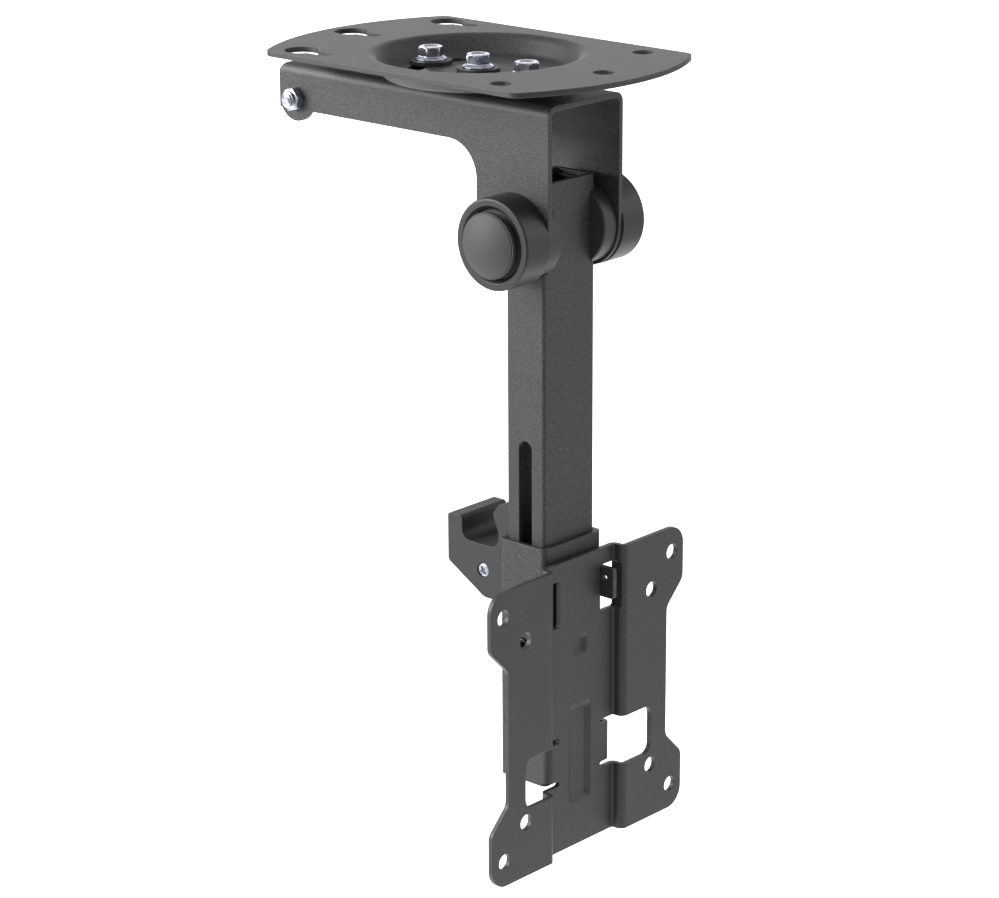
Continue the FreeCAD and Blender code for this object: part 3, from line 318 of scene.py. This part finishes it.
latch_place = middle_of("latch_nut")
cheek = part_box("channel_bracket")[1].x / MM
latch_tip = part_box("latch_bolt")[0].x / MM
latch_bolt = plain_bolt("latch_bolt_turned", latch_place, cheek, latch_tip, 0.3, LATCH_SIZE)
latch_nut = lock_nut("latch_nut_turned", latch_place, "X", -cheek, -1, 0.25, LATCH_SIZE)
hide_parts("latch_bolt")
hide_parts("latch_nut")

washers_low, washers_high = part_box("clamp_washers")
washer_face = washers_high.x / MM
washer_radius = (washers_high.y - washers_low.y) / 2
clamp_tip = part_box("clamp_bolts")[1].x / MM
clamp_y = middle_of("clamp_nuts")[1]
clamp_pieces = []
for number, height in enumerate((washers_low.z + washer_radius, washers_high.z - washer_radius)):
    centre = (0.0, clamp_y, height)
    clamp_pieces.append(plain_bolt(f"clamp_bolt_{number}", centre, -washer_face, clamp_tip, 0.2 + number))
    clamp_pieces.append(lock_nut(f"clamp_nut_{number}", centre, "X", washer_face, 1, 0.5 * number))
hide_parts("clamp_bolts")
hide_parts("clamp_nuts")
for piece in (latch_bolt, latch_nut):
    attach(piece, "channel")
for piece in clamp_pieces:
    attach(piece, "carrier")
print("latch at", [round(value / MM, 1) for value in latch_place], "and", len(clamp_pieces), "clamp pieces")

# %% [markdown]
# The hook's two halves are held by a small screw with a cross recess. Its head is a height over a
# disc: a low dome, less the depth of two crossed slots that narrow towards the bottom. The head
# faces left, so the height runs along -X.

# %% The hook's screw
SCREW_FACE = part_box("hook_screw")[0].x / MM
SCREW_HEAD_RADIUS = 2.8
SCREW_HEAD_HEIGHT = 2.2
SCREW_SHANK_RADIUS = 2.0
SCREW_DOME_RISE = 0.35
RECESS_REACH, RECESS_WIDTH, RECESS_DEPTH = 1.8, 0.5, 1.4
RECESS_TURN = 0.5  # radians about the screw's axis


def cross_recess(first, second):
    """Depth of the recess: for each slot, a wall that falls off over a tenth of a millimetre."""
    def slot(along, across):
        wall = np.clip((RECESS_WIDTH - np.abs(across)) / 0.12, 0, 1)
        end = np.clip((RECESS_REACH - np.abs(along)) / 0.7, 0, 1)
        return wall * end
    return RECESS_DEPTH * np.maximum(slot(first, second), slot(second, first))


def screw_head():
    """Rows out over the dome, round its edge, and down the side to the shank."""
    radii = np.linspace(0.0, SCREW_HEAD_RADIUS - 0.25, 40)
    first = radii[:, None] * np.cos(ANGLES + RECESS_TURN)
    second = radii[:, None] * np.sin(ANGLES + RECESS_TURN)
    dome = SCREW_DOME_RISE * (radii[:, None] / SCREW_HEAD_RADIUS) ** 2
    along = SCREW_FACE + dome + cross_recess(first, second)
    radius = np.broadcast_to(radii[:, None], along.shape)
    under, tip = SCREW_FACE + SCREW_HEAD_HEIGHT, -SCREW_FACE
    side = [(SCREW_FACE + 0.55, SCREW_HEAD_RADIUS), (under, SCREW_HEAD_RADIUS), (under, SCREW_SHANK_RADIUS)]
    side += [(tip - 0.3, SCREW_SHANK_RADIUS), (tip, SCREW_SHANK_RADIUS - 0.3), (tip, 0.0)]
    along = np.vstack([along] + [np.full(ROUND_STEPS, row[0]) for row in side])
    radius = np.vstack([radius] + [np.full(ROUND_STEPS, row[1]) for row in side])
    points = along_axis(along, radius, ANGLES, middle_of("hook_screw"), "X")
    return put_in_scene("hook_screw_turned", points.reshape(-1, 3), grid_faces(len(along), ROUND_STEPS))


hook_screw = screw_head()
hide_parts("hook_screw")
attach(hook_screw, "carrier")
print("screw head:", len(hook_screw.data.polygons), "faces")

# %% [markdown]
# ## Writing a material as sums
#
# A finish is a small graph of nodes. To read it as sums, a socket is wrapped in a class whose plus,
# minus and times signs add Math nodes. Every other node comes from one method, which sets the
# node's own choices first and its sockets after that.

# %% Shader helpers
COLOUR_A, COLOUR_B, COLOUR_OUT = 6, 7, 2  # where a Mix node keeps its two colours and their mixture


class Value:
    """A number that varies over a surface; its operators add Math nodes."""

    def __init__(self, finish, socket):
        self.finish, self.socket = finish, socket

    def math(self, operation, *others):
        """One Math node on this value and the numbers or values after it."""
        inputs = dict(enumerate((self, *others)))
        return self.finish.node("ShaderNodeMath", {"operation": operation}, inputs)["Value"]

    def __add__(self, other):
        return self.math("ADD", other)

    def __sub__(self, other):
        return self.math("SUBTRACT", other)

    def __rsub__(self, other):
        return (self * -1.0).math("ADD", other)

    def __mul__(self, other):
        return self.math("MULTIPLY", other)

    def __pow__(self, other):
        return self.math("POWER", other)

    __radd__ = __add__

    def between(self, low, high):
        """0 where the value is at low, 1 where it is at high, and smooth between them."""
        settings = {"interpolation_type": "SMOOTHSTEP"}
        inputs = {"Value": self, "From Min": low, "From Max": high}
        return self.finish.node("ShaderNodeMapRange", settings, inputs)["Result"]


class Finish:
    """A material and the nodes in it."""

    def __init__(self, name):
        self.material = bpy.data.materials.new(name)
        self.material.use_nodes = True
        self.tree = self.material.node_tree
        self.tree.nodes.clear()
        self.place = self.node("ShaderNodeTexCoord")["Object"]

    def node(self, kind, settings=None, inputs=None):
        """Adds a node, makes its settings, then gives its sockets values or links. Returns its outputs."""
        made = self.tree.nodes.new(kind)
        for name, value in (settings or {}).items():
            setattr(made, name, value)
        for name, value in (inputs or {}).items():
            if isinstance(value, Value):
                self.tree.links.new(value.socket, made.inputs[name])
            else:
                made.inputs[name].default_value = value
        return {output.name: Value(self, output) for output in made.outputs}

    def noise(self, size, detail=2.0, roughness=0.5):
        """Noise from 0 to 1 whose blobs are about a size in millimetres."""
        inputs = {"Vector": self.place, "Scale": 1 / (size * MM), "Detail": detail, "Roughness": roughness}
        return self.node("ShaderNodeTexNoise", None, inputs)["Fac"]

    def colour(self, factor, first, second):
        """A colour between two others; each is three numbers or a value from this graph."""
        ends = [(*end, 1.0) if isinstance(end, tuple) else end for end in (first, second)]
        inputs = {"Factor": factor, COLOUR_A: ends[0], COLOUR_B: ends[1]}
        self.node("ShaderNodeMix", {"data_type": "RGBA"}, inputs)
        return Value(self, self.tree.nodes[-1].outputs[COLOUR_OUT])

    def rounded(self, radius):
        """A normal that rounds every sharp edge to a radius in millimetres."""
        return self.node("ShaderNodeBevel", {"samples": 6}, {"Radius": radius * MM})["Normal"]

    def edge_mask(self, soft_normal):
        """1 on edges and 0 on flats: how far the rounded normal leans from the true one."""
        true_normal = self.node("ShaderNodeNewGeometry")["Normal"]
        inputs = {0: soft_normal, 1: true_normal}
        dot = self.node("ShaderNodeVectorMath", {"operation": "DOT_PRODUCT"}, inputs)["Value"]
        return (1 - dot).between(0.01, 0.12)

    def bump(self, height, depth, normal):
        """A Bump node: the height is in its own units, and depth is the full height in millimetres."""
        inputs = {"Height": height, "Distance": depth * MM, "Strength": 1.0, "Normal": normal}
        return self.node("ShaderNodeBump", None, inputs)["Normal"]

    def surface(self, **sockets):
        """The Principled shader and the output; words with underscores name its sockets."""
        inputs = {name.replace("_", " ").title(): value for name, value in sockets.items()}
        shader = self.node("ShaderNodeBsdfPrincipled", None, inputs)["BSDF"]
        self.node("ShaderNodeOutputMaterial", None, {"Surface": shader})
        return self.material


print("shader helpers ready")

# %% [markdown]
# ## Powder coat
#
# Powder coat is sprayed dry and baked, so it melts into a skin with a fine grain: tiny rounded bumps
# a few tenths of a millimetre wide, on a slow orange-peel wave. It is nearly black and half shiny.
# At cut edges the colour is painted paler, a painted highlight where the edges catch the light. The
# screen plate's coat lies smoother than the tube's, so it is the same finish with half the grain and less
# speckle.

# %% The powder coat
SPECKLE_SHARE = 0.8


def powder_coat(name, tone, grain, speckle):
    """Near black with fine grain: two sizes of noise make the bumps, and one slow noise the waves.

    Speckle is how much of the colour follows the fine noise; the rest of that share stays even.
    """
    finish = Finish(name)
    fine = finish.noise(0.5, 2.0, 0.6)
    coarse = finish.noise(1.6, 2.0)
    wave = finish.noise(16.0, 1.0)
    skin = finish.rounded(0.5)
    edges = finish.edge_mask(skin)
    specks = fine.between(0.42, 0.66)
    mottle = specks * speckle + (SPECKLE_SHARE - speckle) / 2 + wave * (1 - SPECKLE_SHARE)
    body = finish.colour(mottle, (tone * 0.4,) * 3, (tone * 1.9, tone * 1.9, tone * 1.94))
    # Painted highlight: the colour turns paler along the edges, where rounded edges catch the light.
    base = finish.colour(edges * 0.45, body, (tone * 3.4, tone * 3.4, tone * 3.45))
    height = fine * 0.9 + coarse * 0.3 + wave * 0.5
    normal = finish.bump(height, grain, skin)
    rough = 0.40 + fine * 0.16 - edges * 0.08
    return finish.surface(base_color=base, roughness=rough, normal=normal)


coat = powder_coat("powder_coat", 0.03, 0.11, SPECKLE_SHARE)
smooth_coat = powder_coat("smooth_powder_coat", 0.03, 0.05, 0.35)
print("made", coat.name, "and", smooth_coat.name)

# %% [markdown]
# ## Moulded and dense plastics
#
# The hinge covers and the hook are injection-moulded. The mould was spark-eroded, which leaves a
# softer and finer grain than powder coat. The caps are smoother and paler. The friction discs are a
# dense moulding with fine turning marks about the hinge axis. The slip washers, the pad and the
# guide keys are smooth.

# %% The plastics
RING_PITCH = 0.6 * MM


def moulded(name, tone, rough, grain, edge):
    """Satin black plastic: fine spark grain, a faint cloudiness, and softly rounded edges with a painted
    highlight on them.
    """
    finish = Finish(name)
    fine = finish.noise(0.3, 2.0, 0.5)
    cloud = finish.noise(14.0, 2.0)
    skin = finish.rounded(edge)
    edges = finish.edge_mask(skin)
    body = finish.colour(cloud, (tone * 0.85,) * 3, (tone * 1.15, tone * 1.15, tone * 1.18))
    # Painted highlight: the colour turns paler along the edges.
    base = finish.colour(edges * 0.4, body, (tone * 1.9,) * 3)
    normal = finish.bump(fine, grain, skin)
    return finish.surface(base_color=base, roughness=rough + cloud * 0.08 - edges * 0.05, normal=normal)


def friction_material(name):
    """Dense black moulding with rings about the hinge axis, from the distance to that axis."""
    finish = Finish(name)
    inputs = {0: finish.place, 1: HINGE}
    centred = finish.node("ShaderNodeVectorMath", {"operation": "SUBTRACT"}, inputs)["Vector"]
    split = finish.node("ShaderNodeSeparateXYZ", None, {"Vector": centred})
    radius = (split["Y"] * split["Y"] + split["Z"] * split["Z"]) ** 0.5
    rings = (radius * (2 * math.pi / RING_PITCH)).math("SINE")
    fine = finish.noise(0.4, 2.0)
    skin = finish.rounded(0.15)
    base = finish.colour(fine * 0.6, (0.02, 0.02, 0.021), (0.045, 0.045, 0.047))
    normal = finish.bump(rings * 0.3 + fine, 0.02, skin)
    return finish.surface(base_color=base, roughness=0.42 + fine * 0.15, normal=normal)


cover_plastic = moulded("cover_plastic", 0.014, 0.42, 0.012, 0.5)
cap_plastic = moulded("cap_plastic", 0.042, 0.58, 0.004, 0.12)
hook_plastic = moulded("hook_plastic", 0.019, 0.5, 0.015, 0.6)
slip_plastic = moulded("slip_plastic", 0.015, 0.42, 0.006, 0.2)
friction_black = friction_material("friction_black")
print("made five plastics")

# %% [markdown]
# ## Plated steel
#
# Zinc plate is bright with a bluish cast. Under the plate the steel keeps its drawing and forging
# marks, so the gloss wanders, and a painted highlight makes the corners a little brighter. Disc
# springs are bare and oiled, and darker. The clamp bolts, their washers and nuts are blackened.

# %% The metals
def plated(name, light, dark, rough):
    """Metal whose colour and gloss wander between two values, with fine marks in its height."""
    finish = Finish(name)
    cloud = finish.noise(2.2, 4.0, 0.6)
    fine = finish.noise(0.18, 2.0)
    skin = finish.rounded(0.15)
    edges = finish.edge_mask(skin)
    body = finish.colour(cloud.between(0.35, 0.7), dark, light)
    # Painted highlight: the colour turns nearly white along the edges and corners.
    base = finish.colour(edges * 0.5, body, (0.92, 0.93, 0.95))
    normal = finish.bump(fine * 0.5 + cloud, 0.006, skin)
    return finish.surface(base_color=base, roughness=rough + cloud * 0.14, metallic=1.0, normal=normal)


zinc = plated("zinc_plate", (0.66, 0.68, 0.75), (0.36, 0.38, 0.46), 0.17)
spring_steel = plated("spring_steel", (0.42, 0.41, 0.39), (0.25, 0.24, 0.23), 0.3)
black_oxide = plated("black_oxide", (0.07, 0.07, 0.075), (0.035, 0.035, 0.04), 0.34)
print("made three metals")

# %% [markdown]
# ## Dressing every piece
#
# Each CAD node and each added piece gets its finish here. The table names the nodes by finish; the
# rest are zinc, and their count is printed. In the middle of each cap's dome, outside and inside, two
# points of the mesh lie on one another. Outside, one has a wrong normal and shows as a bright dot.
# A Weld modifier joins points that share an edge of no length, so only those two pairs, and a
# Weighted Normal modifier then works out the shading again from the faces round them.

# %% Give every piece its finish
DRESS = {
    coat: ("ceiling_plate", "channel_bracket", "arm_tube", "carrier_sleeve"),
    smooth_coat: ("screen_plate",),
    cover_plastic: ("hinge_cover_left", "hinge_cover_right", "tube_plug"),
    cap_plastic: ("hinge_cap_left", "hinge_cap_right"),
    hook_plastic: ("hook_shell_left", "hook_shell_right"),
    slip_plastic: ("swivel_pad", "slip_washers", "slide_key_left", "slide_key_right"),
    friction_black: ("friction_disc_left", "friction_disc_right"),
    spring_steel: ("disc_springs",),
    black_oxide: ("clamp_washers", "clamp_bolts", "clamp_nuts"),
}
dressed = {name: material for material, names in DRESS.items() for name in names}
for name, node in NODES.items():
    node.data.materials.clear()
    node.data.materials.append(dressed.get(name, zinc))
for piece in [*swivel_bolts.values(), *swivel_nuts, latch_bolt, latch_nut, hook_screw]:
    piece.data.materials.append(zinc)
for piece in clamp_pieces:
    piece.data.materials.append(black_oxide)
for name in ("hinge_cap_left", "hinge_cap_right"):
    joined = NODES[name].modifiers.new("join the middle", "WELD")
    joined.mode = "CONNECTED"
    joined.merge_threshold = 0.001 * MM
    evened = NODES[name].modifiers.new("even the shading", "WEIGHTED_NORMAL")
    evened.keep_sharp = True
print("dressed", len(NODES), "nodes,", len(NODES) - len(dressed), "of them in zinc")

# %% [markdown]
# ## The room
#
# The mount hangs in front of a sweep of pale paper, well clear of it, as it does in the studio. The
# paper is one surface: a floor that curves up into a wall, no wider than the picture needs. The room
# round it is dimmer, so the faces that look at the camera stay black and the others mirror a soft
# light: one stands behind and to the left, a weaker one in front and to the right, and one more stands
# low on either side as a fill. Each light is placed by its bearing from the mount, counted as the
# camera's azimuth is.

# %% Paper and lights
FLOOR_HEIGHT = -0.75
PAPER_HALF_WIDTH = 0.75
PAPER_FRONT, PAPER_BEND, PAPER_WALL = 1.2, 1.2, 0.15  # the floor, the quarter circle, the wall
PAPER_BACK = 0.6  # from the mount to where the floor begins to rise
MIDDLE = Vector((0.0, 0.0, -0.15))


def bearing(azimuth, elevation):
    """The direction at an azimuth and an elevation in degrees."""
    turn, lift = math.radians(azimuth), math.radians(elevation)
    return Vector((math.sin(turn) * math.cos(lift), -math.cos(turn) * math.cos(lift), math.sin(lift)))


def paper_sweep():
    """A floor, a quarter circle and a wall, carried sideways; the wall stands behind the mount."""
    angles = np.linspace(-np.pi / 2, 0.0, 24)
    depth = np.concatenate([[-PAPER_FRONT], PAPER_BEND * np.cos(angles), [PAPER_BEND]])
    height = np.concatenate([[0.0], PAPER_BEND * (1 + np.sin(angles)), [PAPER_BEND + PAPER_WALL]])
    away = bearing(math.degrees(AZIMUTH) + 180.0, 0.0)
    flat = np.array(away)
    across = np.array((-flat[1], flat[0], 0.0))
    line = np.outer(depth + PAPER_BACK, flat) + np.outer(height + FLOOR_HEIGHT, (0, 0, 1))
    points = np.concatenate([line - across * PAPER_HALF_WIDTH, line + across * PAPER_HALF_WIDTH])
    count = len(line)
    index = np.arange(count - 1)
    return points, np.stack([index, index + 1, index + 1 + count, index + count], axis=-1)


paper = Finish("paper")
fibre = paper.noise(4.0, 3.0)
paper_material = paper.surface(
    base_color=paper.colour(fibre, (0.86, 0.86, 0.86), (0.9, 0.9, 0.9)),
    roughness=0.9,
    emission_color=(1.0, 1.0, 1.0, 1.0),
    emission_strength=1.0,
)
sweep_points, sweep_faces = paper_sweep()
sweep_mesh = bpy.data.meshes.new("paper_sweep")
sweep_mesh.from_pydata(sweep_points, [], sweep_faces)
sweep_mesh.shade_smooth()
sweep_mesh.materials.append(paper_material)
sweep = bpy.data.objects.new("paper_sweep", sweep_mesh)
bpy.context.scene.collection.objects.link(sweep)
sweep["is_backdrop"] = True


def softbox(name, azimuth, elevation, distance, width, height, watts):
    """A rectangular light at a bearing from the mount, turned to it."""
    light = bpy.data.lights.new(name, "AREA")
    light.shape = "RECTANGLE"
    light.size, light.size_y, light.energy = width, height, watts
    made = bpy.data.objects.new(name, light)
    outward = bearing(azimuth, elevation)
    facing = (-outward).to_track_quat("-Z", "Y").to_matrix().to_4x4()
    made.matrix_world = Matrix.Translation(MIDDLE + outward * distance) @ facing
    bpy.context.scene.collection.objects.link(made)
    return made


softbox("rear_left_light", -132.0, 22.0, 1.5, 1.2, 0.9, 36.0)
softbox("rear_left_fill", -132.0, -14.0, 1.5, 1.2, 0.8, 3.0)
softbox("front_right_light", 48.0, 22.0, 1.5, 1.1, 0.9, 4.0)
softbox("front_right_fill", 48.0, -14.0, 1.5, 1.1, 0.8, 1.6)

room = bpy.data.worlds.new("room")
room.use_nodes = True
room.node_tree.nodes["Background"].inputs["Color"].default_value = (1.0, 1.0, 1.0, 1.0)
room.node_tree.nodes["Background"].inputs["Strength"].default_value = 0.55
bpy.context.scene.world = room
bpy.context.scene.view_settings.view_transform = "Standard"
print("room ready")

# %% [markdown]
# ## Handing over
#
# The dressed model's box is measured, and how much it grew beyond the CAD model's box is printed.

# %% Measure the dressed box and print its growth
DRESSED_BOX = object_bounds()
growth = (DRESSED_BOX[1] - DRESSED_BOX[0]) - (CAD_BOX[1] - CAD_BOX[0])
print("grown by", [round(value / MM, 3) for value in growth], "mm")
